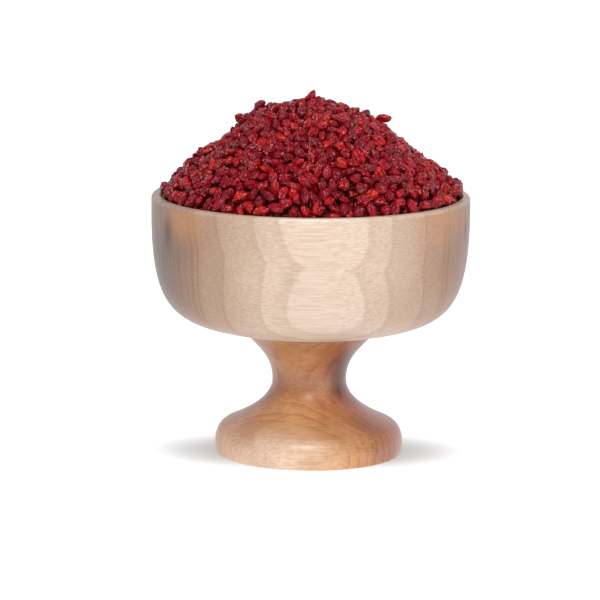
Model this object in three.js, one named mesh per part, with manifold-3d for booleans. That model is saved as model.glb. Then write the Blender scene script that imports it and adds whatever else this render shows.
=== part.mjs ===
// A turned wooden pedestal bowl heaped with dried barberries.
//
// Millimetres, +Z up. The origin is the centre of the foot's underside, and -Y is the front.
// Three pieces: the bowl, the pedestal that is tenoned into its underside, and the fruit that fills the bowl.

import * as THREE from "three";
import { mergeVertices } from "three/addons/utils/BufferGeometryUtils.js";
import Module from "manifold-3d";

// Driving dimensions of the bowl
const BOWL_RADIUS = 75;
const RIM_HEIGHT = 123.4;
const RIM_WALL = 5;
const RIM_ROUNDING = 1.5;
const FLOOR_HEIGHT = 70;

// Driving dimensions of the pedestal
const JOINT_HEIGHT = 58.6;
const JOINT_RADIUS = 31;
const WAIST_HEIGHT = 35.2;
const WAIST_RADIUS = 17.5;
const SHOULDER_HEIGHT = 13.8;
const SHOULDER_RADIUS = 42;
const FOOT_RADIUS = 43.9;
const FOOT_CHAMFER = 0.6;

// The blind socket under the bowl, and the pedestal's tenon in it
const SOCKET_RADIUS = 12;
const SOCKET_DEPTH = 8;
const GLUE_GAP = 0.3;

// The heap: a paraboloid from the rim's inner edge up to its crown
const HEAP_BASE_HEIGHT = 125;
const HEAP_RISE = 42.5;
const HEAP_RADIUS = 71;
const WALL_CLEARANCE = 0.5;
const EDGE_DROP = 2.4;
const CORE_DEPTH = 3;

// The heap's mounds and dips as x, y, height and reach
const MOUNDS = [
  [-26, -2, 3.2, 12],
  [32, 3, 3.8, 11],
  [2, 4, 2, 11],
  [-45, -6, -2, 12],
  [45, -4, -2.6, 11],
  [14, -32, 2.4, 13],
  [-14, -28, -2, 12],
  [-24, 30, 2.6, 12],
  [20, 32, -2.2, 12],
  [-3, -52, 1.6, 12],
  [4, 50, 2, 12],
];

// One dried barberry, and the draw of its variations
const BERRY_LENGTH = 8.4;
const BERRY_WIDTH = 5.6;
const BERRY_COUNT = 268;
const BERRY_SIDES = 5;
const LENGTH_SPREAD = 0.12;
const WIDTH_SPREAD = 0.1;
const FLATTENING = 0.16;
const TILT_SPREAD = 0.4;
const APEX_TILT = -1.1;
const HEADINGS_TRIED = 10;
const EDGE_TILT = 0.12;
const SEED = 20;

const TURNED_SEGMENTS = 48;
const CORE_SEGMENTS = 20;

const wasm = await Module();
wasm.setup();

/** A repeatable draw of numbers from 0 to 1. */
function seededRandom(seed) {
  let state = seed >>> 0;
  return () => {
    state = (state + 0x6d2b79f5) >>> 0;
    let mixed = Math.imul(state ^ (state >>> 15), state | 1);
    mixed ^= mixed + Math.imul(mixed ^ (mixed >>> 7), mixed | 61);
    return ((mixed ^ (mixed >>> 14)) >>> 0) / 4294967296;
  };
}

/** A solid turned about +Z from a profile of (radius, height) points. */
function turned(profile, segments) {
  return new THREE.LatheGeometry(profile, segments).rotateX(Math.PI / 2);
}

/** Points along a Bezier stretch of a profile, without its first point. */
function stretch(from, control1, control2, to, steps) {
  const curve = new THREE.CubicBezierCurve(from, control1, control2, to);
  return curve.getPoints(steps).slice(1);
}

const at = (radius, height) => new THREE.Vector2(radius, height);

/** The bowl's profile, from the socket's top round the outside and over the rim to the middle of the inside floor. */
function bowlProfile() {
  const seatEdge = at(JOINT_RADIUS, JOINT_HEIGHT);
  const underside = at(50, JOINT_HEIGHT + 3.8);
  const wallTop = at(BOWL_RADIUS, RIM_HEIGHT - 8);
  const lipOuter = at(BOWL_RADIUS, RIM_HEIGHT - RIM_ROUNDING);
  const lipTopOuter = at(BOWL_RADIUS - RIM_ROUNDING, RIM_HEIGHT);
  const innerRadius = BOWL_RADIUS - RIM_WALL;
  const lipTopInner = at(innerRadius + RIM_ROUNDING, RIM_HEIGHT);
  const lipInner = at(innerRadius, RIM_HEIGHT - RIM_ROUNDING);
  const floorEdge = at(30, FLOOR_HEIGHT + 1);
  return [
    at(0, JOINT_HEIGHT + SOCKET_DEPTH),
    at(SOCKET_RADIUS, JOINT_HEIGHT + SOCKET_DEPTH),
    at(SOCKET_RADIUS, JOINT_HEIGHT),
    seatEdge,
    ...stretch(seatEdge, at(36, JOINT_HEIGHT + 0.6), at(44, JOINT_HEIGHT + 2.4), underside, 3),
    ...stretch(underside, at(67.5, JOINT_HEIGHT + 8), at(BOWL_RADIUS, 76.4), wallTop, 10),
    lipOuter,
    ...stretch(lipOuter, at(BOWL_RADIUS, RIM_HEIGHT - 0.6), at(BOWL_RADIUS - 0.6, RIM_HEIGHT), lipTopOuter, 3),
    lipTopInner,
    ...stretch(lipTopInner, at(innerRadius + 0.6, RIM_HEIGHT), at(innerRadius, RIM_HEIGHT - 0.6), lipInner, 2),
    ...stretch(lipInner, at(innerRadius, 82), at(58, FLOOR_HEIGHT + 3.5), floorEdge, 9),
    at(0, FLOOR_HEIGHT),
  ];
}

/** The pedestal's profile, from the middle of its underside up its foot, waist and flare to the top of its tenon. */
function pedestalProfile() {
  const footEdge = at(FOOT_RADIUS, FOOT_CHAMFER);
  const shoulder = at(SHOULDER_RADIUS, SHOULDER_HEIGHT);
  const waist = at(WAIST_RADIUS, WAIST_HEIGHT);
  const topHeight = JOINT_HEIGHT - GLUE_GAP;
  const top = at(JOINT_RADIUS, topHeight);
  const tenonRadius = SOCKET_RADIUS - GLUE_GAP;
  const tenonTop = topHeight + SOCKET_DEPTH - GLUE_GAP;
  return [
    at(0, 0),
    at(FOOT_RADIUS - FOOT_CHAMFER, 0),
    footEdge,
    ...stretch(footEdge, at(FOOT_RADIUS + 1.7, 6.8), at(SHOULDER_RADIUS + 1.2, 12), shoulder, 4),
    ...stretch(shoulder, at(29.2, SHOULDER_HEIGHT + 5.5), at(WAIST_RADIUS, WAIST_HEIGHT - 9.2), waist, 8),
    ...stretch(waist, at(WAIST_RADIUS, WAIST_HEIGHT + 11.7), at(25.9, topHeight - 6.5), top, 6),
    at(tenonRadius, topHeight),
    at(tenonRadius, tenonTop),
    at(0, tenonTop),
  ];
}

/** Height of the heap's surface at a distance from the axis, before its mounds. */
const heapHeight = (radius) => HEAP_BASE_HEIGHT + HEAP_RISE * (1 - (radius / HEAP_RADIUS) ** 2);

/** Steepness of the heap's surface at a distance from the axis, as drop over run. */
const heapSlope = (radius) => (2 * HEAP_RISE * radius) / HEAP_RADIUS ** 2;

/** What the mounds and dips add to the heap's height. */
function moundHeight(x, y) {
  return MOUNDS.reduce((sum, [moundX, moundY, height, reach]) => {
    const distance = Math.hypot(x - moundX, y - moundY) / reach;
    return sum + height * Math.exp(-(distance ** 2));
  }, 0);
}

/** Height of the heap's outer surface over a point of the plan. */
const surfaceHeight = (x, y) => heapHeight(Math.hypot(x, y)) + moundHeight(x, y);

/** Radii that share the heap's surface out evenly, one for each berry from the crown to the edge. */
function evenRadii(count, edgeRadius) {
  const steps = 400;
  const areas = [0];
  for (let i = 1; i <= steps; i += 1) {
    const radius = ((i - 0.5) / steps) * edgeRadius;
    areas.push(areas[i - 1] + radius * Math.hypot(1, heapSlope(radius)));
  }
  return Array.from({ length: count }, (_, berry) => {
    const wanted = ((berry + 0.5) / count) * areas[steps];
    const step = areas.findIndex((area) => area >= wanted);
    return ((step - (areas[step] - wanted) / (areas[step] - areas[step - 1])) / steps) * edgeRadius;
  });
}

/** The two tips of a placed berry. */
const tipsOf = (placement) => [-0.5, 0.5].map((x) => new THREE.Vector3(x, 0, 0).applyMatrix4(placement));

/** Where each berry lies: on a sunflower spiral, roughly along the surface, and heading where its tips are clearest. */
function berryPlacements() {
  const random = seededRandom(SEED);
  const spread = (amount) => (random() * 2 - 1) * amount;
  const goldenAngle = Math.PI * (3 - Math.sqrt(5));
  const edgeRadius = BOWL_RADIUS - RIM_WALL - WALL_CLEARANCE - BERRY_WIDTH / 2;
  const taken = [];
  return evenRadii(BERRY_COUNT, edgeRadius).map((evenRadius, berry) => {
    const length = BERRY_LENGTH * (1 + spread(LENGTH_SPREAD));
    const width = BERRY_WIDTH * (1 + spread(WIDTH_SPREAD));
    const size = new THREE.Vector3(length, width, width * (1 - random() * FLATTENING));
    const radius = Math.min(edgeRadius, Math.max(0, evenRadius + spread(0.7)));
    const angle = berry * goldenAngle + spread(0.6 / Math.max(radius, 4));
    const x = radius * Math.cos(angle);
    const y = radius * Math.sin(angle);
    const depth = (size.z / 2) * Math.hypot(1, heapSlope(radius));
    const position = new THREE.Vector3(x, y, surfaceHeight(x, y) - depth + spread(0.5));
    const lie = new THREE.Quaternion().setFromEuler(new THREE.Euler(0, Math.atan(heapSlope(radius)), angle, "ZYX"));
    const atEdge = radius > edgeRadius - BERRY_LENGTH / 2;
    const tilt = berry === 0 ? APEX_TILT : spread(atEdge ? EDGE_TILT : TILT_SPREAD);
    const options = Array.from({ length: HEADINGS_TRIED }, () => {
      const yaw = atEdge ? Math.PI / 2 + spread(EDGE_TILT) : random() * Math.PI;
      const heading = new THREE.Quaternion().setFromEuler(new THREE.Euler(0, tilt, yaw, "ZYX"));
      const placement = new THREE.Matrix4().compose(position, lie.clone().multiply(heading), size);
      const room = tipsOf(placement).map((tip) => Math.min(99, ...taken.map((point) => point.distanceTo(tip))));
      return { placement, room: Math.min(...room) };
    });
    const { placement } = options.reduce((best, option) => (option.room > best.room ? option : best));
    taken.push(position, ...tipsOf(placement));
    return placement;
  });
}

/** The body of fruit under the outer layer: it follows the bowl's inside and the heap, a little within both. */
function coreGeometry() {
  const wallRadius = BOWL_RADIUS - RIM_WALL - WALL_CLEARANCE;
  const floorEdge = at(29.5, FLOOR_HEIGHT + 1.6);
  const wallTop = at(wallRadius, RIM_HEIGHT - EDGE_DROP);
  const surfaceRadii = [65, 56, 46, 36, 26, 14, 0];
  const profile = [
    at(0, FLOOR_HEIGHT + WALL_CLEARANCE),
    floorEdge,
    ...stretch(floorEdge, at(57, FLOOR_HEIGHT + 4.2), at(wallRadius, 82.5), wallTop, 6),
    ...surfaceRadii.map((radius) => at(radius, heapHeight(radius) - CORE_DEPTH * Math.hypot(1, heapSlope(radius)))),
  ];
  const geometry = turned(profile, CORE_SEGMENTS);
  const position = geometry.getAttribute("position");
  for (let i = 0; i < position.count; i += 1) {
    if (position.getZ(i) > RIM_HEIGHT) {
      position.setZ(i, position.getZ(i) + moundHeight(position.getX(i), position.getY(i)));
    }
  }
  return geometry;
}

/** One plump spindle lying along X, with unit length and width. */
function berryGeometry() {
  const profile = [at(0, -0.5), at(0.44, -0.22), at(0.47, 0.2), at(0, 0.5)];
  return new THREE.LatheGeometry(profile, BERRY_SIDES).rotateZ(-Math.PI / 2);
}

/** A closed geometry as a solid that can be joined. */
function solidOf(geometry) {
  const bare = new THREE.BufferGeometry();
  bare.setAttribute("position", geometry.getAttribute("position"));
  bare.setIndex(geometry.getIndex());
  const merged = mergeVertices(bare, 1e-3);
  return new wasm.Manifold(
    new wasm.Mesh({
      numProp: 3,
      vertProperties: new Float32Array(merged.getAttribute("position").array),
      triVerts: new Uint32Array(merged.getIndex().array),
    }),
  );
}

/** A joined solid as a geometry. */
function geometryOf(solid) {
  const mesh = solid.getMesh();
  const geometry = new THREE.BufferGeometry();
  geometry.setAttribute("position", new THREE.BufferAttribute(mesh.vertProperties, 3));
  geometry.setIndex(new THREE.BufferAttribute(mesh.triVerts, 1));
  return geometry;
}

/** The fruit: the body that fills the bowl, with the outer layer of berries sunk into it. */
function barberriesGeometry() {
  const berry = berryGeometry();
  const berries = berryPlacements().map((placement) => solidOf(berry.clone().applyMatrix4(placement)));
  return geometryOf(berries.reduce((joined, next) => joined.add(next), solidOf(coreGeometry())));
}

function piece(name, geometry, color, roughness) {
  const material = new THREE.MeshStandardMaterial({ color, roughness, metalness: 0 });
  const mesh = new THREE.Mesh(geometry, material);
  mesh.name = name;
  return mesh;
}

const barberryBowl = new THREE.Group();
barberryBowl.add(
  piece("bowl", turned(bowlProfile(), TURNED_SEGMENTS), 0xd9bf9f, 0.45),
  piece("pedestal", turned(pedestalProfile(), TURNED_SEGMENTS), 0xb9835a, 0.4),
  piece("barberries", barberriesGeometry(), 0x8f1423, 0.4),
);

export default barberryBowl;
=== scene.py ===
"""The looks of a turned wooden pedestal bowl heaped with dried barberries.

Metres, +Z up, seen from -Y. The bowl, the pedestal and the fruit each replace their CAD node with a
finer surface of the same form. Shapes are worked out in millimetres and put into meshes in metres.
"""

import bpy
import numpy as np
from mathutils import Matrix, Vector


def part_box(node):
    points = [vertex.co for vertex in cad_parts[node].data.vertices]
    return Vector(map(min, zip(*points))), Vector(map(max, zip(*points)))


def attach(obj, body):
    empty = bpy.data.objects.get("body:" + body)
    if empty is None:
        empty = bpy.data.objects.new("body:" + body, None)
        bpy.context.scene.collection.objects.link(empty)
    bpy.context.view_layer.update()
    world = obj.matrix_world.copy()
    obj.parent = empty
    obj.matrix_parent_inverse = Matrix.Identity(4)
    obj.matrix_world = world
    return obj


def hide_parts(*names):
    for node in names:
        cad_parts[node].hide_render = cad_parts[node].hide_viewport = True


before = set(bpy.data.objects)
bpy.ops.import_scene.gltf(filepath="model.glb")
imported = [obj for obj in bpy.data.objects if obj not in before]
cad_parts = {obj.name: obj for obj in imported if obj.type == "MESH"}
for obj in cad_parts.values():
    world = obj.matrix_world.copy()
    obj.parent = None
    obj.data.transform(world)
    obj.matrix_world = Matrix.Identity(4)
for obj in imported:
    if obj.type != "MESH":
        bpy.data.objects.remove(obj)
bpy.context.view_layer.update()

MM = 0.001


def box_mm(node):
    """A CAD node's lowest and highest corner in millimetres."""
    low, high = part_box(node)
    return np.array(low) / MM, np.array(high) / MM


bowl_low, bowl_high = box_mm("bowl")

# The bowl's sizes, in millimetres
BOWL_RADIUS = bowl_high[0]
RIM_HEIGHT = bowl_high[2]
JOINT_HEIGHT = bowl_low[2]
RIM_WALL = 5.0
RIM_ROUNDING = 1.5
INNER_RADIUS = BOWL_RADIUS - RIM_WALL
FLOOR_HEIGHT = JOINT_HEIGHT + 11.4
SOCKET_RADIUS = 12.0
SOCKET_DEPTH = 8.0

# The pedestal's sizes
GLUE_GAP = 0.3
JOINT_RADIUS = 31.0
WAIST_HEIGHT = 35.2
WAIST_RADIUS = 17.5
SHOULDER_HEIGHT = 13.8
SHOULDER_RADIUS = 42.0
FOOT_RADIUS = 43.9
FOOT_CHAMFER = 0.6

# The heap: a paraboloid with mounds and dips, given as x, y, height and reach
HEAP_BASE_HEIGHT = RIM_HEIGHT + 1.6
HEAP_RISE = 42.5
HEAP_RADIUS = 71.0
MOUNDS = np.array(
    [
        (-26, -2, 3.2, 12),
        (33, 3, 1.2, 8),
        (2, 4, 2, 11),
        (-41, 8, -5.0, 11),
        (-57, -2, 1.8, 8),
        (62, -2, 2.2, 8),
        (44, 6, -4.0, 11),
        (14, -32, 2.4, 13),
        (-14, -28, -2, 12),
        (-24, 30, 2.6, 12),
        (20, 32, -2.2, 12),
        (-3, -52, 1.6, 12),
        (4, 50, 2, 12),
    ]
)

# The berries' mean length and width, with the spread and the limits of each as shares of the mean
BERRY_LENGTH = 8.0
LENGTH_SPREAD = 0.13
LENGTH_SHARES = (0.68, 1.2)
BERRY_WIDTH = 5.5
WIDTH_SPREAD = 0.12
WIDTH_SHARES = (0.72, 1.24)
STANDING_LENGTH = 8.0
STANDING_WIDTH = 5.6

# How many berries lie in the outer layer and in the one under it, and how deep in the heap. The lying
# share is how much of the upright part is taken from a berry's heading.
OUTER_COUNT = 590
OUTER_DEPTH = 2.4
DEPTH_SPREAD = 0.7
PLACE_SPREAD = 1.2
LYING_SHARE = 0.75
INNER_COUNT = 560
INNER_DEPTH = 6.6
CORE_DEPTH = 8.6
WALL_CLEARANCE = 0.5
SEED = 7

# Berries with a place of their own on the crown and at the rim: x, y, height over the heap, and the
# way that the outer tip points
STANDING = np.array(
    [
        (-0.6, 2.0, -0.2, 0.8, 0.0, 0.9),
        (-24.6, 1.0, -0.6, 0.65, 0.1, 1.0),
        (-32.6, -3.0, -0.6, -1.0, -0.2, 0.5),
        (33.8, 3.0, 1.8, 1.0, 0.0, 0.1),
        (19.2, 4.0, -2.6, 1.0, 0.2, 0.3),
        (69.4, -3.0, 0.4, 0.3, 1.0, 0.1),
        (68.6, 6.0, 0.6, -0.5, 1.0, 0.2),
        (67.8, -11.0, -0.2, 0.5, 1.0, -0.1),
        (-68.4, -9.5, 0.4, 0.3, -1.0, 0.1),
        (-65.6, -18.6, -2.0, -0.6, 1.0, 0.0),
    ]
)

# Rows of berries that lie along the wall at the rim: radius, height over the rim, and how many
RIM_ROWS = ((61.5, -7.4, 56), (65.8, -6.6, 62), (66.0, -2.2, 68), (69.2, 2.4, 70))

TURNED_SEGMENTS = 192


# Turned shapes


def bezier(start, control_1, control_2, end, steps):
    """A cubic Bezier stretch of a profile as (radius, height) rows, its first point left out."""
    t = np.linspace(0, 1, steps + 1)[1:, None]
    points = [np.array(p, float) for p in (start, control_1, control_2, end)]
    weights = ((1 - t) ** 3, 3 * (1 - t) ** 2 * t, 3 * (1 - t) * t**2, t**3)
    return sum(weight * point for weight, point in zip(weights, points))


def bowl_profile():
    """From the socket's top on the axis, round the outside and over the rim, to the inside floor."""
    seat_edge = (JOINT_RADIUS, JOINT_HEIGHT)
    underside = (50, JOINT_HEIGHT + 3.8)
    wall_top = (BOWL_RADIUS, RIM_HEIGHT - 8)
    lip_outer = (BOWL_RADIUS, RIM_HEIGHT - RIM_ROUNDING)
    lip_top_outer = (BOWL_RADIUS - RIM_ROUNDING, RIM_HEIGHT)
    lip_top_inner = (INNER_RADIUS + RIM_ROUNDING, RIM_HEIGHT)
    lip_inner = (INNER_RADIUS, RIM_HEIGHT - RIM_ROUNDING)
    floor_edge = (30, FLOOR_HEIGHT + 1)
    quarter = 0.45 * RIM_ROUNDING
    return np.vstack(
        [
            (0, JOINT_HEIGHT + SOCKET_DEPTH),
            (SOCKET_RADIUS, JOINT_HEIGHT + SOCKET_DEPTH),
            (SOCKET_RADIUS, JOINT_HEIGHT),
            seat_edge,
            bezier(seat_edge, (36, JOINT_HEIGHT + 0.6), (44, JOINT_HEIGHT + 2.4), underside, 12),
            bezier(underside, (67.5, JOINT_HEIGHT + 8), (BOWL_RADIUS, 76.4), wall_top, 44),
            bezier(wall_top, wall_top, lip_outer, lip_outer, 4),
            bezier(
                lip_outer,
                (BOWL_RADIUS, RIM_HEIGHT - quarter),
                (BOWL_RADIUS - quarter, RIM_HEIGHT),
                lip_top_outer,
                8,
            ),
            bezier(lip_top_outer, lip_top_outer, lip_top_inner, lip_top_inner, 3),
            bezier(
                lip_top_inner,
                (INNER_RADIUS + quarter, RIM_HEIGHT),
                (INNER_RADIUS, RIM_HEIGHT - quarter),
                lip_inner,
                8,
            ),
            bezier(lip_inner, (INNER_RADIUS, 82), (58, FLOOR_HEIGHT + 3.5), floor_edge, 24),
            (0, FLOOR_HEIGHT),
        ]
    )


def pedestal_profile():
    """From the middle of the underside up the foot, the waist and the flare to the top of the tenon."""
    foot_edge = (FOOT_RADIUS, FOOT_CHAMFER)
    side_top = (SHOULDER_RADIUS + 1.4, SHOULDER_HEIGHT - 3)
    cone_top = (SHOULDER_RADIUS - 2.9, SHOULDER_HEIGHT + 1.25)
    waist = (WAIST_RADIUS, WAIST_HEIGHT)
    top_height = JOINT_HEIGHT - GLUE_GAP
    top = (JOINT_RADIUS, top_height)
    tenon_radius = SOCKET_RADIUS - GLUE_GAP
    tenon_top = top_height + SOCKET_DEPTH - GLUE_GAP
    return np.vstack(
        [
            (0, 0),
            (FOOT_RADIUS - FOOT_CHAMFER - 0.4, 0),
            (FOOT_RADIUS - FOOT_CHAMFER, 0),
            (FOOT_RADIUS - 0.18, 0.18),
            foot_edge,
            bezier(foot_edge, (FOOT_RADIUS + 1.0, 4.2), (FOOT_RADIUS + 0.7, 8.2), side_top, 12),
            bezier(
                side_top,
                (SHOULDER_RADIUS + 0.8, SHOULDER_HEIGHT - 1.4),
                (SHOULDER_RADIUS - 0.9, SHOULDER_HEIGHT + 0.45),
                cone_top,
                8,
            ),
            bezier(cone_top, (29.2, SHOULDER_HEIGHT + 5.5), (WAIST_RADIUS, WAIST_HEIGHT - 9.2), waist, 28),
            bezier(waist, (WAIST_RADIUS, WAIST_HEIGHT + 11.7), (25.9, top_height - 6.5), top, 24),
            (tenon_radius, top_height),
            (tenon_radius, tenon_top),
            (0, tenon_top),
        ]
    )


def ring_faces(ring_count, points_round):
    """Quads between neighbouring rings of points, and a fan at each end round one point more."""
    around = np.arange(points_round)
    onward = (around + 1) % points_round
    starts = np.arange(ring_count - 1)[:, None] * points_round
    ends = starts + points_round
    corners = [starts + around, starts + onward, ends + onward, ends + around]
    quads = np.stack(corners, axis=-1).reshape(-1, 4)
    last = (ring_count - 1) * points_round
    first_pole = np.full_like(around, ring_count * points_round)
    first_fan = np.stack([first_pole, onward, around], axis=-1)
    last_fan = np.stack([first_pole + 1, last + around, last + onward], axis=-1)
    return quads, np.vstack([first_fan, last_fan])


def turned_mesh(name, profile):
    """Turns a profile about Z: point k of ring i is (r cos a, r sin a, h), with a = 2 pi k / segments."""
    angles = np.arange(TURNED_SEGMENTS) * 2 * np.pi / TURNED_SEGMENTS
    radius, height = profile[1:-1, :1], profile[1:-1, 1:]
    rings = np.stack(
        [radius * np.cos(angles), radius * np.sin(angles), height + 0 * angles],
        axis=-1,
    ).reshape(-1, 3)
    poles = [(0, 0, profile[0, 1]), (0, 0, profile[-1, 1])]
    points = np.vstack([rings, poles])
    quads, fans = ring_faces(len(profile) - 2, TURNED_SEGMENTS)
    return filled_mesh(name, points, [*quads.tolist(), *fans.tolist()])


def filled_mesh(name, points, faces):
    """A smooth-shaded mesh object from points in millimetres."""
    mesh = bpy.data.meshes.new(name)
    mesh.from_pydata((points * MM).tolist(), [], faces)
    mesh.shade_smooth()
    mesh.validate()
    piece = bpy.data.objects.new(name, mesh)
    bpy.context.scene.collection.objects.link(piece)
    return piece


# The heap


def heap_height(x, y):
    """Base + rise (1 - (r / R)^2), plus each mound's height times exp(-(distance / reach)^2)."""
    height = HEAP_BASE_HEIGHT + HEAP_RISE * (1 - (x**2 + y**2) / HEAP_RADIUS**2)
    for mound_x, mound_y, mound_height, reach in MOUNDS:
        squared = ((x - mound_x) ** 2 + (y - mound_y) ** 2) / reach**2
        height = height + mound_height * np.exp(-squared)
    return height


def heap_normal(x, y):
    """The heap's outward direction, from differences of its height 0.5 mm to each side."""
    step = 0.5
    slope_x = (heap_height(x + step, y) - heap_height(x - step, y)) / (2 * step)
    slope_y = (heap_height(x, y + step) - heap_height(x, y - step)) / (2 * step)
    normal = np.stack([-slope_x, -slope_y, np.ones_like(x)], axis=-1)
    return normal / np.linalg.norm(normal, axis=-1, keepdims=True)


def spiral_places(count, depth, edge_radius, turn):
    """A sunflower spiral, even over the heap's sloping area and sunk by a depth along the normal."""
    steps = np.linspace(0, edge_radius, 600)
    slope = 2 * HEAP_RISE * steps / HEAP_RADIUS**2
    area = np.cumsum(steps * np.hypot(1, slope))
    wanted = (np.arange(count) + 0.5) / count * area[-1]
    radius = np.interp(wanted, area, steps)
    angle = np.arange(count) * np.pi * (3 - np.sqrt(5)) + turn
    x, y = radius * np.cos(angle), radius * np.sin(angle)
    surface = np.stack([x, y, heap_height(x, y)], axis=-1)
    return surface - depth * heap_normal(x, y)


def ring_places(radius, over_rim, count):
    """Places evenly round a circle of a radius, at a height over the rim."""
    angle = np.arange(count) * 2 * np.pi / count
    height = RIM_HEIGHT + over_rim + 0 * angle
    return np.stack([radius * np.cos(angle), radius * np.sin(angle), height], axis=-1)


def nearest_on_axes(between, axis_i, axis_j, half_i, half_j):
    """How far along two berries' axes, taken as segments, their nearest points lie."""
    dot = np.sum(axis_i * axis_j, axis=1)
    along_i = np.sum(axis_i * between, axis=1)
    along_j = np.sum(axis_j * between, axis=1)
    spread = np.maximum(1 - dot**2, 1e-6)
    s = np.clip((dot * along_j - along_i) / spread, -half_i, half_i)
    t = np.clip(dot * s + along_j, -half_j, half_j)
    s = np.clip(dot * t - along_i, -half_i, half_i)
    return s, t


# How the berries settle. Each share is how much of a fault one round puts right: of an overlap, of a
# wrong depth, of standing out past a limit, and of reaching past the wall. Lengths are in millimetres.
SETTLING_ROUNDS = 90
ROUNDS_PER_LOOKUP = 6
NEIGHBOUR_REACH = BERRY_LENGTH * 1.3
TOUCHING_SHARE = 0.8
PUSH_SHARE = 0.3
TURNING_LENGTH = 9.0
DEPTH_SHARE = 0.12
STAND_OUT_LIMIT = 0.5
STAND_OUT_SHARE = 0.4
WALL_SHARE = 0.8

# Over the rim the berries may lie this far out over its top, in full from this height up
RIM_OVERHANG = 3.5
OVERHANG_HEIGHT = 3.0


def settled(centres, axes, halves, radii, depths, free):
    """Pushes overlapping berries apart, and each back to its depth in the heap and inside the wall.

    A berry is a capsule: points within its radius of a segment. Each round, every overlapping pair is
    moved and turned apart by a share of its overlap.
    """
    for step in range(SETTLING_ROUNDS):
        if step % ROUNDS_PER_LOOKUP == 0:
            gaps = centres[:, None, :] - centres[None, :, :]
            i, j = np.nonzero(np.triu(np.sum(gaps**2, axis=-1) < NEIGHBOUR_REACH**2, 1))
        between = centres[i] - centres[j]
        s, t = nearest_on_axes(between, axes[i], axes[j], halves[i], halves[j])
        apart = between + s[:, None] * axes[i] - t[:, None] * axes[j]
        distance = np.linalg.norm(apart, axis=1) + 1e-6
        overlap = np.maximum(TOUCHING_SHARE * (radii[i] + radii[j]) - distance, 0)
        push = PUSH_SHARE * (overlap / distance)[:, None] * apart
        moves = np.zeros_like(centres)
        turns = np.zeros_like(centres)
        np.add.at(moves, i, push)
        np.add.at(moves, j, -push)
        np.add.at(turns, i, push * (s / TURNING_LENGTH)[:, None])
        np.add.at(turns, j, -push * (t / TURNING_LENGTH)[:, None])
        x, y, z = centres.T
        normal = heap_normal(x, y)
        depth = (heap_height(x, y) - z) * normal[:, 2]
        stands_out = halves * np.abs(np.sum(axes * normal, axis=1)) + radii - depth
        moves += DEPTH_SHARE * (depth - depths)[:, None] * normal
        moves -= STAND_OUT_SHARE * np.maximum(stands_out - STAND_OUT_LIMIT, 0)[:, None] * normal
        out = np.hypot(x, y) + 1e-6
        outward = np.stack([x / out, y / out, 0 * x], axis=-1)
        over_rim = np.clip((z - RIM_HEIGHT) / OVERHANG_HEIGHT, 0, 1)
        limit = INNER_RADIUS - WALL_CLEARANCE + RIM_OVERHANG * over_rim
        past = out + halves * np.abs(np.sum(axes * outward, axis=1)) + radii - limit
        moves -= WALL_SHARE * np.maximum(past, 0)[:, None] * outward
        centres = centres + moves * free[:, None]
        axes = axes + turns * free[:, None]
        axes /= np.linalg.norm(axes, axis=1, keepdims=True)
    return centres, axes


def packed_berries():
    """Centres, axes, lengths and widths: the standing berries, the rim rows, then outer and inner ones."""
    draw = np.random.default_rng(SEED)
    edge = INNER_RADIUS - WALL_CLEARANCE - BERRY_WIDTH / 2
    outer = spiral_places(OUTER_COUNT, OUTER_DEPTH, edge - 1, 0.0)
    inner = spiral_places(INNER_COUNT, INNER_DEPTH, edge - 1, 1.3)
    rows = [ring_places(*row) for row in RIM_ROWS]
    x, y, lift = STANDING[:, :3].T
    tips = STANDING[:, 3:] / np.linalg.norm(STANDING[:, 3:], axis=1, keepdims=True)
    stand_end = len(STANDING)
    row_end = stand_end + sum(len(row) for row in rows)
    stand_roots = np.stack([x, y, heap_height(x, y) + lift], axis=-1)
    centres = np.vstack([stand_roots, *rows, outer, inner])
    count = len(centres)
    lengths = BERRY_LENGTH * np.clip(draw.normal(1, LENGTH_SPREAD, count), *LENGTH_SHARES)
    widths = BERRY_WIDTH * np.clip(draw.normal(1, WIDTH_SPREAD, count), *WIDTH_SHARES)
    normal = heap_normal(centres[:, 0], centres[:, 1])
    heading = draw.normal(size=(count, 3))
    heading -= LYING_SHARE * np.sum(heading * normal, axis=1, keepdims=True) * normal
    axes = heading / np.linalg.norm(heading, axis=1, keepdims=True)
    axes[:stand_end] = tips
    lengths[:stand_end] = STANDING_LENGTH
    widths[:stand_end] = STANDING_WIDTH
    centres = centres + draw.normal(0, PLACE_SPREAD, (count, 3))
    centres[:stand_end] = stand_roots
    depths = OUTER_DEPTH + draw.normal(0, DEPTH_SPREAD, count)
    depths[-INNER_COUNT:] = INNER_DEPTH
    x, y, z = centres[stand_end:row_end].T
    depths[stand_end:row_end] = (heap_height(x, y) - z) * heap_normal(x, y)[:, 2]
    free = np.ones(count)
    free[:stand_end] = 0
    halves = np.maximum(lengths - widths, 1) / 2
    centres, axes = settled(centres, axes, halves, widths / 2, depths, free)
    return centres, axes, lengths, widths


# One berry on a grid of rings along it and points round it
RING_PLACES = np.array([-0.97, -0.78, -0.4, 0.05, 0.48, 0.82])
RING_POINTS = 9
TIP_PLACES = (-1.06, 1.0)


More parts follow.
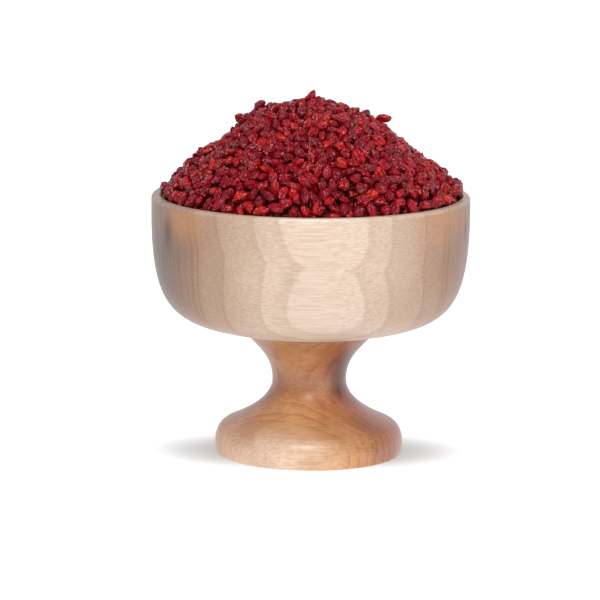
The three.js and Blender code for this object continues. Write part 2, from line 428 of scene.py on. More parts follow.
def berry_surfaces(centres, axes, lengths, widths, draw):
    """Every berry's points, in rings round its axis, and their places along, across and above the axis.

    The radius is width / 2 * (1 - |place|^p)^q, with p and q drawn for each berry so that its ends are
    blunt or pointed. It is drawn in along a few lengthwise folds and one dent, and the berry is a little
    flattened and bent.
    """
    count = len(centres)
    outward = heap_normal(centres[:, 0], centres[:, 1])
    side = np.cross(outward, axes)
    side /= np.linalg.norm(side, axis=1, keepdims=True) + 1e-9
    up = np.cross(axes, side)
    place = RING_PLACES[None, :, None]
    angle = (np.arange(RING_POINTS) * 2 * np.pi / RING_POINTS)[None, None, :]

    def drawn(low, high):
        return draw.uniform(low, high, count)[:, None, None]

    fullness = (1 - np.abs(place) ** drawn(1.6, 2.7)) ** drawn(0.45, 0.8)
    folds = draw.integers(2, 5, count)[:, None, None]
    fold = 0.5 + 0.5 * np.cos(folds * angle + drawn(0, 2 * np.pi) + drawn(-1.2, 1.2) * place)
    away = (angle - drawn(0, 2 * np.pi) + np.pi) % (2 * np.pi) - np.pi
    dent = np.exp(-(away**2) / 0.6 - (place - drawn(-0.6, 0.6)) ** 2 / 0.15)
    rough = draw.normal(0, 0.1, (count, len(RING_PLACES), RING_POINTS))
    radius = fullness * (1.04 - drawn(0.1, 0.36) * fold - drawn(0, 0.5) * dent + rough)
    pinch = 1 - drawn(0.0, 0.3) * np.maximum(place, 0)
    across = widths[:, None, None] / 2 * radius * pinch * np.cos(angle)
    above = widths[:, None, None] / 2 * radius * pinch * drawn(0.72, 1.0) * np.sin(angle)
    bend = drawn(-0.13, 0.13) * lengths[:, None, None] * place**2
    along = lengths[:, None, None] / 2 * place + 0 * angle
    rings = (
        centres[:, None, None, :]
        + along[..., None] * axes[:, None, None, :]
        + across[..., None] * side[:, None, None, :]
        + (above + bend)[..., None] * up[:, None, None, :]
    )
    tips = [
        centres
        + (lengths / 2 * tip)[:, None] * axes
        + (bend[:, 0, 0] / RING_PLACES[0] ** 2)[:, None] * up
        for tip in TIP_PLACES
    ]
    tips = np.stack(tips, axis=1)
    points = np.concatenate([rings.reshape(count, -1, 3), tips], axis=1)
    inward = points - centres[:, None, :]
    frames = np.stack([axes, side, up], axis=1)
    along_across = np.einsum("nki,nji->nkj", inward, frames) + draw.uniform(0, 900, (count, 1, 3))
    return points, along_across


def berries_piece(name, centres, axes, lengths, widths, seed):
    """One mesh of many berries. Its attributes are each berry's tint, its stalk scar, how pitted it is
    and how many painted glint specks it has, partly a sugary bloom, and its own along, across and
    upward places in metres, moved by a random amount so that no two berries match.
    """
    draw = np.random.default_rng(seed)
    points, along_across = berry_surfaces(centres, axes, lengths, widths, draw)
    count, size = points.shape[:2]
    quads, fans = ring_faces(len(RING_PLACES), RING_POINTS)
    offsets = (np.arange(count) * size)[:, None, None]
    faces = (quads + offsets).reshape(-1, 4).tolist() + (fans + offsets).reshape(-1, 3).tolist()
    piece = filled_mesh(name, points.reshape(-1, 3), faces)
    tint = np.repeat(draw.beta(1.3, 1.3, count), size)
    scar = np.zeros((count, size))
    scar[:, :RING_POINTS] = 1
    scar[:, len(RING_PLACES) * RING_POINTS] = 1
    scar *= draw.random(count)[:, None] < 0.4
    sugar_and_glints = np.repeat(draw.beta(0.7, 0.9, count), size)
    for attribute, values in (("tint", tint), ("scar", scar.ravel()), ("sugar_and_glints", sugar_and_glints)):
        layer = piece.data.attributes.new(attribute, "FLOAT", "POINT")
        layer.data.foreach_set("value", values.astype(np.float32))
    lengthwise = piece.data.attributes.new("lengthwise", "FLOAT_VECTOR", "POINT")
    lengthwise.data.foreach_set("vector", (along_across * MM).astype(np.float32).ravel())
    return piece


def heap_core():
    """What lies under the berries: the bowl's filled inside, with a lower mound on top."""
    wall_radius = INNER_RADIUS - WALL_CLEARANCE
    floor_radius = 29.5
    floor_edge = FLOOR_HEIGHT + 1.6
    wall_top = RIM_HEIGHT - 8
    rise = np.linspace(0, 1, 14)[:, None]
    wall = np.hstack(
        [
            floor_radius + (wall_radius - floor_radius) * np.sin(rise * np.pi / 2) ** 0.8,
            floor_edge + (wall_top - floor_edge) * (1 - np.cos(rise * np.pi / 2)),
        ]
    )
    tops = np.linspace(wall_radius - 2, 0, 22)[:, None]
    profile = np.vstack([(0, FLOOR_HEIGHT + 0.5), wall, np.hstack([tops, tops * 0 + RIM_HEIGHT])])
    piece = turned_mesh("barberry_core", profile)
    points = np.empty(len(piece.data.vertices) * 3)
    piece.data.vertices.foreach_get("co", points)
    points = points.reshape(-1, 3) / MM
    x, y, z = points.T
    upper = z > RIM_HEIGHT - 0.01
    depth = CORE_DEPTH / heap_normal(x, y)[:, 2]
    points[upper, 2] = (heap_height(x, y) - depth)[upper]
    piece.data.vertices.foreach_set("co", (points * MM).ravel())
    piece.data.update()
    return piece


# Materials


def add_node(tree, kind, **settings):
    """A node of a kind, with its properties set."""
    node = tree.nodes.new(kind)
    for name, value in settings.items():
        setattr(node, name, value)
    return node


def feed(tree, socket, value):
    """Links an output to a socket, or sets a plain value on it."""
    if isinstance(value, bpy.types.NodeSocket):
        tree.links.new(value, socket)
    else:
        socket.default_value = value


def maths(tree, operation, first, second=0.0, clamp=False):
    node = add_node(tree, "ShaderNodeMath", operation=operation, use_clamp=clamp)
    feed(tree, node.inputs[0], first)
    feed(tree, node.inputs[1], second)
    return node.outputs[0]


def vector_maths(tree, operation, first, second=(0, 0, 0)):
    node = add_node(tree, "ShaderNodeVectorMath", operation=operation)
    feed(tree, node.inputs[0], first)
    feed(tree, node.inputs[1], second)
    gives_value = operation in ("LENGTH", "DISTANCE", "DOT_PRODUCT")
    return node.outputs["Value" if gives_value else "Vector"]


def dot(tree, first, second):
    return vector_maths(tree, "DOT_PRODUCT", first, second)


def smooth_step(tree, value, low, high, to_low=0.0, to_high=1.0):
    """Turns a value smoothly from to_low below low to to_high above high."""
    node = add_node(tree, "ShaderNodeMapRange", interpolation_type="SMOOTHSTEP")
    for socket, setting in zip(node.inputs, (value, low, high, to_low, to_high)):
        feed(tree, socket, setting)
    return node.outputs["Result"]


def soft_band(tree, value, centre, half_width):
    """One at the centre, falling smoothly to nought at a half width to each side."""
    away = maths(tree, "ABSOLUTE", maths(tree, "SUBTRACT", value, centre))
    return smooth_step(tree, away, 0.0, half_width, 1.0, 0.0)


def blend_colours(tree, factor, first, second, kind="MIX"):
    """A Mix node on colours. Its colour sockets share their names with others, so they go by number."""
    node = add_node(tree, "ShaderNodeMix", data_type="RGBA", blend_type=kind)
    feed(tree, node.inputs["Factor"], factor)
    feed(tree, node.inputs[6], first)
    feed(tree, node.inputs[7], second)
    return node.outputs[2]


def colour_ramp(tree, value, stops):
    """A ramp through (place, colour) stops."""
    ramp = add_node(tree, "ShaderNodeValToRGB")
    elements = ramp.color_ramp.elements
    while len(elements) < len(stops):
        elements.new(0.5)
    for element, (place, colour) in zip(elements, stops):
        element.position = place
        element.color = colour
    feed(tree, ramp.inputs["Fac"], value)
    return ramp.outputs["Color"]


def noise(tree, vector, scale, detail=2.0, roughness=0.5, distortion=0.0):
    node = add_node(tree, "ShaderNodeTexNoise")
    feed(tree, node.inputs["Vector"], vector)
    for name, value in (
        ("Scale", scale),
        ("Detail", detail),
        ("Roughness", roughness),
        ("Distortion", distortion),
    ):
        node.inputs[name].default_value = value
    return node.outputs


def srgb(red, green, blue):
    """An opaque linear colour from 0 to 255 display values."""
    display = np.array([red, green, blue]) / 255
    linear = np.where(display <= 0.04045, display / 12.92, ((display + 0.055) / 1.055) ** 2.4)
    return (*linear.tolist(), 1.0)


def grey(value):
    return (value, value, value, 1.0)


def new_group(name, inputs, outputs):
    """An empty shader node group with float, vector or colour sockets."""
    group = bpy.data.node_groups.new(name, "ShaderNodeTree")
    for in_out, sockets in (("INPUT", inputs), ("OUTPUT", outputs)):
        for socket_name, kind in sockets:
            group.interface.new_socket(socket_name, in_out=in_out, socket_type="NodeSocket" + kind)
    return group, group.nodes.new("NodeGroupInput").outputs, group.nodes.new("NodeGroupOutput").inputs


def place_group(tree, group, **values):
    node = add_node(tree, "ShaderNodeGroup", node_tree=group)
    for name, value in values.items():
        feed(tree, node.inputs[name], value)
    return node.outputs


def waver_group():
    """A slow wander and a fine ripple about nought, times an amount."""
    inputs = [("Vector", "Vector"), ("Amount", "Float")]
    group, inside, out = new_group("waver", inputs, [("Shift", "Float")])
    slow = noise(group, inside["Vector"], 30.0, detail=1.0, roughness=0.4)["Fac"]
    fine = noise(group, inside["Vector"], 160.0, detail=2.0)["Fac"]
    wander = maths(group, "SUBTRACT", slow, 0.5)
    ripple = maths(group, "MULTIPLY", maths(group, "SUBTRACT", fine, 0.5), 0.3)
    shift = maths(group, "ADD", wander, ripple)
    feed(group, out["Shift"], maths(group, "MULTIPLY", shift, inside["Amount"]))
    return group


def fibres_group():
    """Fine straight streaks and short dark dashes along X, which show as dots on the end grain."""
    outputs = [("Streaks", "Float"), ("Pores", "Float")]
    group, inside, out = new_group("fibres", [("Vector", "Vector")], outputs)
    long_grain = vector_maths(group, "MULTIPLY", inside["Vector"], (48, 1300, 1300))
    pore_grain = vector_maths(group, "MULTIPLY", inside["Vector"], (170, 1700, 1700))
    feed(group, out["Streaks"], noise(group, long_grain, 1.0, detail=3.0, roughness=0.6)["Fac"])
    dots = noise(group, pore_grain, 1.0, detail=1.0)["Fac"]
    feed(group, out["Pores"], smooth_step(group, dots, 0.62, 0.74))
    return group


def new_material(name):
    """A material with only a Principled shader and its output."""
    material = bpy.data.materials.new(name)
    material.use_nodes = True
    tree = material.node_tree
    tree.nodes.clear()
    shader = add_node(tree, "ShaderNodeBsdfPrincipled")
    output = add_node(tree, "ShaderNodeOutputMaterial")
    tree.links.new(shader.outputs["BSDF"], output.inputs["Surface"])
    place = add_node(tree, "ShaderNodeTexCoord").outputs["Object"]
    return material, tree, shader, place


def tinted(tree, factor, wood, colour):
    """Wood multiplied by a colour where the factor is one."""
    return blend_colours(tree, factor, wood, blend_colours(tree, 1.0, wood, colour, "MULTIPLY"))


def finished_wood(tree, shader, wood, lines, streak_colour, pore_colour, roughness):
    """Lays streaks and pores over the wood's colour, with a low sheen and a barely raised grain."""
    wood = tinted(tree, smooth_step(tree, lines["Streaks"], 0.7, 0.3), wood, streak_colour)
    wood = blend_colours(tree, maths(tree, "MULTIPLY", lines["Pores"], 0.2), wood, pore_colour)
    feed(tree, shader.inputs["Base Color"], wood)
    dullness = smooth_step(tree, lines["Streaks"], 0.2, 0.8, roughness + 0.06, roughness)
    feed(tree, shader.inputs["Roughness"], dullness)
    bump = add_node(tree, "ShaderNodeBump")
    bump.inputs["Strength"].default_value = 0.1
    bump.inputs["Distance"].default_value = 0.0002
    feed(tree, bump.inputs["Height"], lines["Streaks"])
    feed(tree, shader.inputs["Normal"], bump.outputs["Normal"])


# The bowl's growth rings, in millimetres and degrees. They face the front, turned a little to the
# right, and lean. The crest is a low ridge along them. Past the last ring listed they go on in even
# steps.
BOWL_RINGS = (1.15, 5.25, 15.6, 26.0, 31.3, 37.9, 46.7)
BOWL_RING_STEP = 11.5
BOWL_RING_TURN = 6.0
BOWL_RING_LEAN = 0.08
BOWL_CREST_HEIGHT = 101.0
BOWL_CREST_RIDGE = 1.55
BOWL_CREST_WIDTH = 6.5
BOWL_BEND_BELOW = 121.0
BOWL_BEND_ABOVE = 1000.0
BOWL_TWIST = 650.0
BOWL_BANDS_PER_MM = 0.26

# Dark upright marks on the front, near the bowl's left and right sides, in metres: x, half width, and
# lowest and highest point. The fleck is a small dark dot low on the front.
BOWL_SIDE_MARKS = ((-0.066, 0.0034, 0.097, 0.1245), (0.072, 0.001, 0.1, 0.121))
BOWL_FLECK = (0.0015, -0.0715, 0.0795)


def bowl_ring_depth(tree, place, waver):
    """How far in from the youngest ring a point lies, in millimetres.

    It is the distance behind a plane that just touches the front, less the ridge of the crest and less
    the square of the height from the crest over a bend, which closes the figure low on the wall. X times
    the height over a twist moves its lower half to the right.
    """
    turn = np.radians(BOWL_RING_TURN)
    behind = dot(tree, place, (-np.sin(turn) / MM, np.cos(turn) / MM, 0))
    leaning = dot(tree, place, (BOWL_RING_LEAN / MM, 0, 1 / MM))
    height = maths(tree, "SUBTRACT", leaning, BOWL_CREST_HEIGHT)
    away = maths(tree, "DIVIDE", maths(tree, "ABSOLUTE", height), -BOWL_CREST_WIDTH)
    ridge = maths(tree, "MULTIPLY", maths(tree, "EXPONENT", away), BOWL_CREST_RIDGE)
    lower = maths(tree, "MINIMUM", height, 0.0)
    upper = maths(tree, "MAXIMUM", height, 0.0)
    bend = maths(tree, "DIVIDE", maths(tree, "MULTIPLY", lower, lower), BOWL_BEND_BELOW)
    rise = maths(tree, "DIVIDE", maths(tree, "MULTIPLY", upper, upper), BOWL_BEND_ABOVE)
    flat = maths(tree, "ADD", maths(tree, "ADD", behind, BOWL_RADIUS - BOWL_CREST_RIDGE), ridge)
    twist = maths(tree, "MULTIPLY", dot(tree, place, (1 / (MM * BOWL_TWIST), 0, 0)), height)
    shift = maths(tree, "ADD", place_group(tree, waver, Vector=place, Amount=0.9)["Shift"], twist)
    depth = maths(tree, "SUBTRACT", maths(tree, "SUBTRACT", flat, bend), rise)
    return maths(tree, "ADD", depth, shift)


def bowl_ring_tone(tree, depth):
    """Lightest at the front. Each ring starts dark with a sharp edge, and lightens to the next one."""
    span = BOWL_RINGS[-1] + 3
    stops = [(0.0, grey(1.0))]
    body = 1.0
    for ring in BOWL_RINGS:
        stops += [((ring - 0.06) / span, grey(body))]
        body = max(body - 0.05, 0.8)
        stops += [((ring + 0.08) / span, grey(body - 0.3)), ((ring + 1.8) / span, grey(body - 0.12))]
    near = colour_ramp(tree, maths(tree, "DIVIDE", depth, span), stops)
    past = maths(tree, "SUBTRACT", depth, BOWL_RINGS[-1])
    phase = maths(tree, "FRACT", maths(tree, "DIVIDE", past, BOWL_RING_STEP))
    far_stops = [(0.0, grey(0.5)), (0.14, grey(0.68)), (0.985, grey(0.8)), (1.0, grey(0.5))]
    far = colour_ramp(tree, phase, far_stops)
    return blend_colours(tree, maths(tree, "GREATER_THAN", past, 0.0), near, far)


def bowl_wood(waver, fibres):
    """Pale wood: wide growth rings that close in nested figures on the front, with painted shade that makes
    the sides darker and browner, and painted bluish-grey reflections at the left and at both edges.
    """
    material, tree, shader, place = new_material("bowl_wood")
    depth = bowl_ring_depth(tree, place, waver)
    wood = blend_colours(tree, bowl_ring_tone(tree, depth), srgb(176, 148, 122), srgb(226, 206, 187))
    apart = add_node(tree, "ShaderNodeSeparateXYZ")
    feed(tree, apart.inputs[0], place)
    x, height = apart.outputs["X"], apart.outputs["Z"]
    to_side = maths(tree, "ABSOLUTE", x)
    rim_top = smooth_step(tree, height, RIM_HEIGHT * MM - 0.0024, RIM_HEIGHT * MM - 0.0008)
    # The painted shade and reflections below fall in full on the wall, and weaker on the rim's top
    wall = smooth_step(tree, rim_top, 0.0, 1.0, 1.0, 0.3)
    # Painted shade: the sides darker and browner, as the light falls off round the bowl
    side = maths(tree, "MULTIPLY", smooth_step(tree, to_side, 0.022, 0.075), wall)
    wood = tinted(tree, side, wood, srgb(206, 172, 150))
    # Painted reflection and shade: a bluish grey on the far left
    left = maths(tree, "MULTIPLY", smooth_step(tree, x, -0.05, -0.069), wall)
    wood = tinted(tree, left, wood, srgb(208, 214, 234))
    # Painted shade and reflection: both side edges a little darker and bluish grey
    edge = maths(tree, "MULTIPLY", smooth_step(tree, to_side, 0.061, 0.073), wall)
    wood = tinted(tree, edge, wood, srgb(230, 231, 244))
    # Painted shade: the left half a little darker
    wood = tinted(tree, smooth_step(tree, x, -0.012, -0.045), wood, srgb(243, 238, 233))
    bands = add_node(tree, "ShaderNodeTexNoise", noise_dimensions="1D")
    feed(tree, bands.inputs["W"], maths(tree, "MULTIPLY", depth, BOWL_BANDS_PER_MM))
    bands.inputs["Scale"].default_value = 1.0
    banded = smooth_step(tree, bands.outputs["Fac"], 0.45, 0.62)
    banded = maths(tree, "MULTIPLY", banded, smooth_step(tree, depth, 20, 30))
    wood = tinted(tree, banded, wood, srgb(238, 228, 223))
    clouds = noise(tree, place, 32.0, detail=3.0, distortion=0.6)["Fac"]
    cloudy = smooth_step(tree, clouds, 0.3, 0.75)
    cloudy = maths(tree, "MULTIPLY", cloudy, smooth_step(tree, depth, 1, 6))
    wood = tinted(tree, cloudy, wood, srgb(244, 238, 232))
    under_rim = smooth_step(tree, height, 0.101, 0.119)
    under_rim = maths(tree, "MULTIPLY", under_rim, maths(tree, "SUBTRACT", 1.0, rim_top))
    stain = maths(tree, "MULTIPLY", soft_band(tree, to_side, 0.06, 0.018), under_rim)
    stain = maths(tree, "MULTIPLY", stain, smooth_step(tree, clouds, 0.25, 0.5))
    wood = blend_colours(tree, maths(tree, "MULTIPLY", stain, 0.7), wood, srgb(210, 150, 100))
    front = smooth_step(tree, apart.outputs["Y"], -0.012, -0.004, 1.0, 0.0)
    for mark_x, half_width, low, high in BOWL_SIDE_MARKS:
        middle, half_height = (low + high) / 2, (high - low) / 2
        mark = maths(tree, "MULTIPLY", soft_band(tree, x, mark_x, half_width), front)
        mark = maths(tree, "MULTIPLY", mark, soft_band(tree, height, middle, half_height))
        wood = tinted(tree, mark, wood, srgb(172, 138, 122))
    fleck = vector_maths(tree, "DISTANCE", place, BOWL_FLECK)
    wood = blend_colours(tree, smooth_step(tree, fleck, 0.0003, 0.0008, 0.7, 0.0), wood, srgb(96, 66, 48))
    lines = place_group(tree, fibres, Vector=place)
    finished_wood(tree, shader, wood, lines, srgb(236, 227, 221), srgb(136, 104, 84), 0.4)
    shader.inputs["Coat Weight"].default_value = 0.35
    shader.inputs["Coat Roughness"].default_value = 0.3
    return material


# The pedestal's growth rings face the front, turned to the left, in even steps. Its youngest wood is
# plain.
PEDESTAL_RING_TURN = 25.0
PEDESTAL_RING_STEP = 4.7
PEDESTAL_RING_START = 19.5
PEDESTAL_YOUNG_WOOD = 34.0
PEDESTAL_SPAN = 45.0

# On the right of its waist the wood is a reddish brown, with a pale patch and a dark streak, in metres
RED_HEART = (0.0185, -0.01, 0.0425)
PALE_PATCH = (0.0075, -0.0162, 0.0335)
DARK_STREAK = (0.0144, -0.0116, 0.0325)

# Low on the front right of the foot lies a patch of short dark dashes
DASHED_PATCH = (0.0285, -0.0325, 0.0105)


def spot(tree, place, centre, stretch, strength):
    """A soft spot: its strength at the centre, and nought where the distance, stretched per axis, is one."""
    away = vector_maths(tree, "MULTIPLY", vector_maths(tree, "SUBTRACT", place, centre), stretch)
    return smooth_step(tree, vector_maths(tree, "LENGTH", away), 0.2, 1.0, strength, 0.0)


def pedestal_wood(waver, fibres):
    """Orange-brown wood, pale where its youngest rings show low on the front left, with a painted highlight
    at the front of the foot and painted shade at the top of the stem, redder on the right.
    """
    material, tree, shader, place = new_material("pedestal_wood")
    turn = np.radians(PEDESTAL_RING_TURN)
    outward = dot(tree, place, (-np.sin(turn) / MM, -np.cos(turn) / MM, 0))
    shift = place_group(tree, waver, Vector=place, Amount=7.0)["Shift"]
    ring = maths(tree, "ADD", outward, shift)
    wood = colour_ramp(
        tree,
        maths(tree, "ADD", maths(tree, "DIVIDE", ring, 2 * PEDESTAL_SPAN), 0.5),
        [
            (0.0, srgb(220, 168, 132)),
            (0.3, srgb(208, 152, 120)),
            (0.46, srgb(200, 138, 106)),
            (0.54, srgb(194, 132, 96)),
            (0.6, srgb(194, 130, 90)),
            (0.66, srgb(206, 142, 96)),
            (0.72, srgb(222, 168, 118)),
            (0.83, srgb(232, 182, 132)),
            # The palest stops fall on the front of the foot, and are lightened past the wood's own pale tone
            # as a painted highlight
            (0.9, srgb(240, 200, 162)),
            (1.0, srgb(248, 222, 200)),
        ],
    )
    steps = maths(tree, "DIVIDE", maths(tree, "SUBTRACT", ring, PEDESTAL_RING_START), PEDESTAL_RING_STEP)
    tones = ((0.0, 0.9), (0.05, 0.6), (0.35, 0.2), (0.94, 0.0), (1.0, 0.9))
    tone_stops = [(stop, grey(value)) for stop, value in tones]
    tone = colour_ramp(tree, maths(tree, "FRACT", steps), tone_stops)
    old_wood = smooth_step(tree, ring, PEDESTAL_YOUNG_WOOD - 8, PEDESTAL_YOUNG_WOOD + 2, 1.0, 0.1)
    broken = smooth_step(tree, noise(tree, place, 75.0, detail=1.0)["Fac"], 0.38, 0.6, 0.25, 1.0)
    old_wood = maths(tree, "MULTIPLY", old_wood, broken)
    wood = tinted(tree, maths(tree, "MULTIPLY", tone, old_wood), wood, srgb(214, 186, 166))
    reddish = spot(tree, place, RED_HEART, (58, 58, 46), 1.0)
    wood = tinted(tree, reddish, wood, srgb(156, 104, 82))
    patch = spot(tree, place, PALE_PATCH, (170, 170, 110), 0.55)
    wood = blend_colours(tree, patch, wood, srgb(218, 166, 134))
    streak = spot(tree, place, DARK_STREAK, (420, 420, 86), 0.7)
    wood = blend_colours(tree, streak, wood, srgb(98, 54, 38))
    clouds = noise(tree, place, 55.0, detail=2.0, distortion=0.5)["Fac"]
    wood = tinted(tree, smooth_step(tree, clouds, 0.35, 0.7), wood, srgb(236, 224, 214))
    # Painted shade: the top of the stem darker, where the bowl shades it
    flare = smooth_step(tree, dot(tree, place, (0, 0, 1)), 0.042, 0.056)
    wood = tinted(tree, flare, wood, srgb(214, 202, 194))
    lines = place_group(tree, fibres, Vector=place)
    short_grain = vector_maths(tree, "MULTIPLY", place, (230, 420, 950))
    dashes = smooth_step(tree, noise(tree, short_grain, 1.0, detail=1.0)["Fac"], 0.5, 0.64)
    dashes = maths(tree, "MULTIPLY", dashes, spot(tree, place, DASHED_PATCH, (76, 76, 95), 0.45))
    wood = blend_colours(tree, dashes, wood, srgb(140, 90, 54))
    finished_wood(tree, shader, wood, lines, srgb(236, 222, 210), srgb(120, 70, 44), 0.32)
    shader.inputs["Coat Weight"].default_value = 0.7
    shader.inputs["Coat Roughness"].default_value = 0.42
    return material


def creases(tree, vector):
    """Sharp valleys between smooth swellings: how far noise lies from its middle value."""
    swell = noise(tree, vector, 1.0, detail=1.0, distortion=0.4)["Fac"]
    away = maths(tree, "ABSOLUTE", maths(tree, "SUBTRACT", swell, 0.5))
    return maths(tree, "MULTIPLY", away, 5.0, clamp=True)


def pebbles(tree, vector):
    """Small round swellings side by side, as the squared distance to the nearest cell's middle."""
    cells = add_node(tree, "ShaderNodeTexVoronoi", feature="SMOOTH_F1")
    feed(tree, cells.inputs["Vector"], vector)
    cells.inputs["Scale"].default_value = 1.0
    cells.inputs["Smoothness"].default_value = 0.35
    return maths(tree, "MULTIPLY", cells.outputs["Distance"], cells.outputs["Distance"])


def berry_skin():
    """Wrinkled translucent skin from dark wine to bright crimson by each berry's tint.

    It is pebbled with small swellings, darker red in its creases as painted shade, and some swellings
    carry a pale speck on top, a painted glint that is partly a sugary bloom. It has a tan stalk scar.
    """
    material, tree, shader, place = new_material("berry_skin")
    tint = add_node(tree, "ShaderNodeAttribute", attribute_name="tint").outputs["Fac"]
    scar = add_node(tree, "ShaderNodeAttribute", attribute_name="scar").outputs["Fac"]
    sugar_and_glints = add_node(tree, "ShaderNodeAttribute", attribute_name="sugar_and_glints").outputs["Fac"]
    patches = noise(tree, place, 300.0, detail=2.0, roughness=0.55)["Fac"]
    mottle = maths(tree, "MULTIPLY", maths(tree, "SUBTRACT", patches, 0.42), 0.9)
    shade = maths(tree, "ADD", maths(tree, "MULTIPLY", tint, 0.9), mottle)
    skin = colour_ramp(
        tree,
        shade,
        [
            (0.0, srgb(114, 6, 26)),
            (0.25, srgb(144, 9, 29)),
            (0.55, srgb(164, 12, 29)),
            (0.8, srgb(182, 16, 28)),
            (1.0, srgb(206, 42, 28)),
        ],
    )
    lengthwise = add_node(tree, "ShaderNodeAttribute", attribute_name="lengthwise").outputs["Vector"]
    coarse = creases(tree, vector_maths(tree, "MULTIPLY", lengthwise, (190, 330, 330)))
    hollows = pebbles(tree, vector_maths(tree, "MULTIPLY", lengthwise, (600, 780, 780)))
    pitted = maths(tree, "MULTIPLY", hollows, smooth_step(tree, sugar_and_glints, 0.0, 1.0, 0.5, 1.0))
    wrinkles = maths(tree, "SUBTRACT", maths(tree, "MULTIPLY", coarse, 0.8), pitted)
    # Painted shade: darker red in the creases and between the swellings
    skin = blend_colours(tree, smooth_step(tree, wrinkles, -0.25, 0.25), srgb(112, 5, 18), skin)
    # Painted glints: pale pink specks on the tops of the swellings, in patches, partly a sugary bloom
    glint_clusters = noise(tree, place, 170.0, detail=1.0)["Fac"]
    glint_clusters = maths(tree, "ADD", glint_clusters, maths(tree, "MULTIPLY", sugar_and_glints, 0.3))
    glint_clusters = smooth_step(tree, glint_clusters, 0.66, 0.8)
    glint_specks = maths(tree, "MULTIPLY", smooth_step(tree, hollows, 0.02, 0.08, 0.8, 0.0), glint_clusters)
    skin = blend_colours(tree, glint_specks, skin, srgb(216, 146, 146))
    skin = blend_colours(tree, smooth_step(tree, scar, 0.7, 0.95), skin, srgb(126, 92, 64))
    feed(tree, shader.inputs["Base Color"], skin)
    feed(tree, shader.inputs["Roughness"], smooth_step(tree, wrinkles, -0.2, 0.4, 0.26, 0.1))
    bump = add_node(tree, "ShaderNodeBump")
    bump.inputs["Strength"].default_value = 1.0
    bump.inputs["Distance"].default_value = 0.0009
    feed(tree, bump.inputs["Height"], wrinkles)
    feed(tree, shader.inputs["Normal"], bump.outputs["Normal"])
    shader.inputs["Specular IOR Level"].default_value = 0.4
    shader.inputs["Subsurface Weight"].default_value = 0.35
    shader.inputs["Subsurface Radius"].default_value = (1.0, 0.12, 0.1)
    shader.inputs["Subsurface Scale"].default_value = 0.0015
    return material


def core_fruit():
    """The fruit deep in the gaps, coloured darker than the berries as painted shade."""
    material, tree, shader, place = new_material("core_fruit")
    lumps = noise(tree, place, 260.0, detail=2.0)["Fac"]
    feed(tree, shader.inputs["Base Color"], blend_colours(tree, lumps, srgb(70, 7, 14), srgb(120, 13, 26)))
    shader.inputs["Roughness"].default_value = 0.5
    bump = add_node(tree, "ShaderNodeBump")
    bump.inputs["Distance"].default_value = 0.001
    feed(tree, bump.inputs["Height"], lumps)
    feed(tree, shader.inputs["Normal"], bump.outputs["Normal"])
    return material


# The studio


def studio_floor():
    """A wide white table, not part of the object, with a painted shadow: darker in a soft oval close round
    the foot.
    """
    half_width = 8.0
    corners = np.array([(-1, -1, 0), (1, -1, 0), (1, 1, 0), (-1, 1, 0)]) * half_width / MM
    floor = filled_mesh("studio_floor", corners.astype(float), [(0, 1, 2, 3)])
    material, tree, shader, place = new_material("studio_white")
    shader.inputs["Base Color"].default_value = grey(0.3)
    shader.inputs["Roughness"].default_value = 0.9
    shader.inputs["Specular IOR Level"].default_value = 0.0
    seen = add_node(tree, "ShaderNodeLightPath").outputs["Is Camera Ray"]
    oval = vector_maths(tree, "LENGTH", vector_maths(tree, "MULTIPLY", place, (1, 1.8, 1)))
    # Painted shadow: the glow the camera sees is dimmed in a soft oval round the foot
    painted_contact_shadow = smooth_step(tree, oval, 0.04, 0.094, 0.41, 1.0)
    feed(tree, shader.inputs["Emission Color"], grey(1.0))
    feed(tree, shader.inputs["Emission Strength"], smooth_step(tree, seen, 0.0, 1.0, 0.84, painted_contact_shadow))
    floor.data.materials.append(material)


def soft_light(name, place, target, size, watts, seen_in_gloss=True):
    """A soft box that faces a target, and that shows in glossy surfaces or not."""
    light = bpy.data.lights.new(name, "AREA")
    light.shape = "RECTANGLE"
    light.size, light.size_y = size
    light.energy = watts
    lamp = bpy.data.objects.new(name, light)
    lamp.location = place
    lamp.rotation_mode = "QUATERNION"
    lamp.rotation_quaternion = (Vector(target) - Vector(place)).to_track_quat("-Z", "Y")
    lamp.visible_glossy = seen_in_gloss
    bpy.context.scene.collection.objects.link(lamp)


def studio_world():
    """A dim room with pale paper behind the object, white where the camera sees past the table."""
    world = bpy.data.worlds.new("studio")
    world.use_nodes = True
    tree = world.node_tree
    tree.nodes.clear()
    rays = add_node(tree, "ShaderNodeLightPath").outputs
    direction = add_node(tree, "ShaderNodeSeparateXYZ")
    feed(tree, direction.inputs[0], add_node(tree, "ShaderNodeTexCoord").outputs["Generated"])
    behind = smooth_step(tree, direction.outputs["Y"], -0.3, 0.5)
    low = smooth_step(tree, direction.outputs["Z"], 0.3, 0.75, 1.0, 0.0)
    paper = maths(tree, "MULTIPLY", behind, low)
    pale = blend_colours(tree, rays["Is Glossy Ray"], (0.3, 0.29, 0.32, 1), (0.8, 0.79, 0.88, 1))
    room = blend_colours(tree, paper, (0.13, 0.125, 0.14, 1), pale)
    background = add_node(tree, "ShaderNodeBackground")
    feed(tree, background.inputs["Color"], blend_colours(tree, rays["Is Camera Ray"], room, grey(1.0)))
    output = add_node(tree, "ShaderNodeOutputWorld")
    tree.links.new(background.outputs["Background"], output.inputs["Surface"])
    bpy.context.scene.world = world


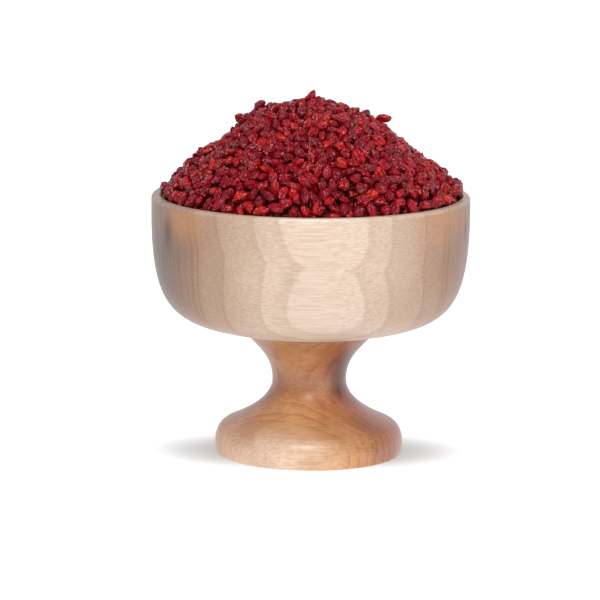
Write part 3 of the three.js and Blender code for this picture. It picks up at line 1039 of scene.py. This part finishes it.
# The camera stands 1.7 m away and looks down by 10.3 degrees, rolled by half a degree as the photograph is
CAMERA_PLACE = (-0.0047, -1.6702, 0.3767)
CAMERA_PITCH = 10.313
CAMERA_ROLL = 0.5
LENS = 215.4


def studio_camera():
    data = bpy.data.cameras.new("camera")
    data.lens = LENS
    data.sensor_width = 36.0
    data.clip_end = 50.0
    camera = bpy.data.objects.new("camera", data)
    pitch = Matrix.Rotation(np.radians(90 - CAMERA_PITCH), 4, "X")
    roll = Matrix.Rotation(np.radians(CAMERA_ROLL), 4, "Z")
    camera.matrix_world = Matrix.Translation(CAMERA_PLACE) @ pitch @ roll
    bpy.context.scene.collection.objects.link(camera)
    bpy.context.scene.camera = camera


def finish_piece(piece, node, material):
    """Gives a piece its material, and lets it ride on the body in place of its CAD node."""
    piece.data.materials.append(material)
    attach(piece, "root")
    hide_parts(node)


studio_camera()
studio_world()
studio_floor()
soft_light("key_soft_box", (0.0, -1.25, 1.05), (0, 0, 0.09), (0.42, 0.28), 11)
soft_light("top_soft_box", (0.05, -0.3, 1.4), (0, 0, 0.0), (0.5, 0.5), 8)
soft_light("wide_fill", (0.68, -2.15, 0.5), (0, 0, 0.09), (1.6, 1.0), 10.8, seen_in_gloss=False)
soft_light("back_fill", (0, 2.2, 0.7), (0, 0, 0.09), (1.6, 1.0), 8, seen_in_gloss=False)

waver = waver_group()
fibres = fibres_group()
bowl = turned_mesh("turned_bowl", bowl_profile())
finish_piece(bowl, "bowl", bowl_wood(waver, fibres))
pedestal = turned_mesh("turned_pedestal", pedestal_profile())
finish_piece(pedestal, "pedestal", pedestal_wood(waver, fibres))

centres, axes, lengths, widths = packed_berries()
outer_end = len(centres) - INNER_COUNT
skin = berry_skin()
for name, part, seed in (
    ("barberries_outer", slice(0, outer_end), SEED + 1),
    ("barberries_inner", slice(outer_end, None), SEED + 2),
):
    piece = berries_piece(name, centres[part], axes[part], lengths[part], widths[part], seed)
    finish_piece(piece, "barberries", skin)
finish_piece(heap_core(), "barberries", core_fruit())

bpy.context.scene.view_settings.view_transform = "Standard"
